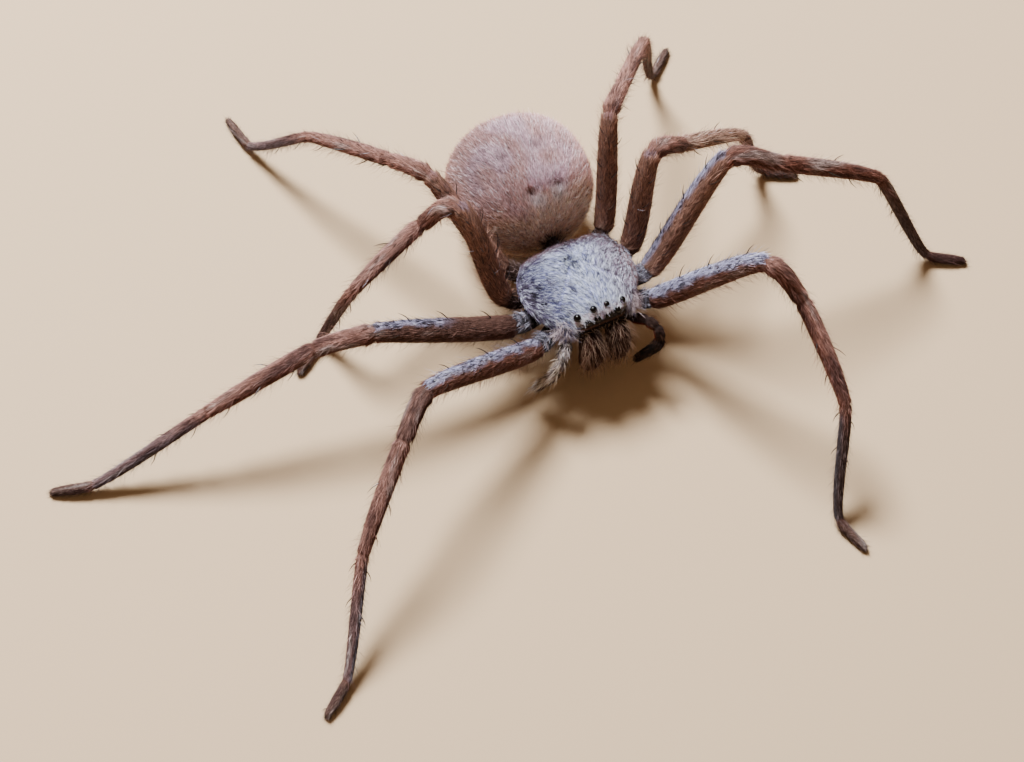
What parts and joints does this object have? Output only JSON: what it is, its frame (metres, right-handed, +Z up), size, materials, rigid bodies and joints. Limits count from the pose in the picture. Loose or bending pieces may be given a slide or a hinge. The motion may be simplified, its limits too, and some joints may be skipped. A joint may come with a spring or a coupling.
{
  "type": "huntsman spider",
  "caption": "Life-size huntsman spider standing still on a floor, legs spread to the sides, with a flat carapace, a round abdomen and spiny, hairy legs.",
  "frame": {"origin": "middle of the bounding box on the floor that the feet stand on", "axes": "+Z up from the floor, +X to the spider's left, +Y to its rear, so it faces -Y; the span of the legs is longest along X"},
  "size_m": [0.1142, 0.0836, 0.0231],
  "materials": {
    "carapace_hair": "short lilac-grey hair with dark flecks",
    "abdomen_hair": "short silky fawn hair",
    "leg_upper_hair": "grey hair flecked with brown",
    "leg_middle_hair": "reddish-brown hair with pale fringes",
    "foot_hair": "dense dark hair",
    "mouthpart_hair": "brown hair with long straw-coloured bristles",
    "fang": "smooth and glossy, nearly black",
    "eye": "smooth and glossy, black"
  },
  "bodies": {
    "root": {"cephalothorax": "carapace_hair", "pedicel": "carapace_hair", "abdomen": "abdomen_hair", "spinnerets": "mouthpart_hair", "eye_front_middle_left": "eye", "eye_front_middle_right": "eye", "eye_front_side_left": "eye", "eye_front_side_right": "eye", "eye_rear_middle_left": "eye", "eye_rear_middle_right": "eye", "eye_rear_side_left": "eye", "eye_rear_side_right": "eye", "chelicera_left": "mouthpart_hair", "fang_left": "fang", "palp_left": "mouthpart_hair", "chelicera_right": "mouthpart_hair", "fang_right": "fang", "palp_right": "mouthpart_hair", "leg_right_1_coxa": "leg_upper_hair", "leg_right_1_femur": "leg_upper_hair", "leg_right_1_patella": "leg_middle_hair", "leg_right_1_tibia": "leg_middle_hair", "leg_right_1_foot": "foot_hair", "leg_right_2_coxa": "leg_upper_hair", "leg_right_2_femur": "leg_upper_hair", "leg_right_2_patella": "leg_middle_hair", "leg_right_2_tibia": "leg_middle_hair", "leg_right_2_foot": "foot_hair", "leg_right_3_coxa": "leg_upper_hair", "leg_right_3_femur": "leg_upper_hair", "leg_right_3_patella": "leg_middle_hair", "leg_right_3_tibia": "leg_middle_hair", "leg_right_3_foot": "foot_hair", "leg_right_4_coxa": "leg_upper_hair", "leg_right_4_femur": "leg_upper_hair", "leg_right_4_patella": "leg_middle_hair", "leg_right_4_tibia": "leg_middle_hair", "leg_right_4_foot": "foot_hair", "leg_left_1_coxa": "leg_upper_hair", "leg_left_1_femur": "leg_upper_hair", "leg_left_1_patella": "leg_middle_hair", "leg_left_1_tibia": "leg_middle_hair", "leg_left_1_foot": "foot_hair", "leg_left_2_coxa": "leg_upper_hair", "leg_left_2_femur": "leg_upper_hair", "leg_left_2_patella": "leg_middle_hair", "leg_left_2_tibia": "leg_middle_hair", "leg_left_2_foot": "foot_hair", "leg_left_3_coxa": "leg_upper_hair", "leg_left_3_femur": "leg_upper_hair", "leg_left_3_patella": "leg_middle_hair", "leg_left_3_tibia": "leg_middle_hair", "leg_left_3_foot": "foot_hair", "leg_left_4_coxa": "leg_upper_hair", "leg_left_4_femur": "leg_upper_hair", "leg_left_4_patella": "leg_middle_hair", "leg_left_4_tibia": "leg_middle_hair", "leg_left_4_foot": "foot_hair"}
  },
  "joints": []
}
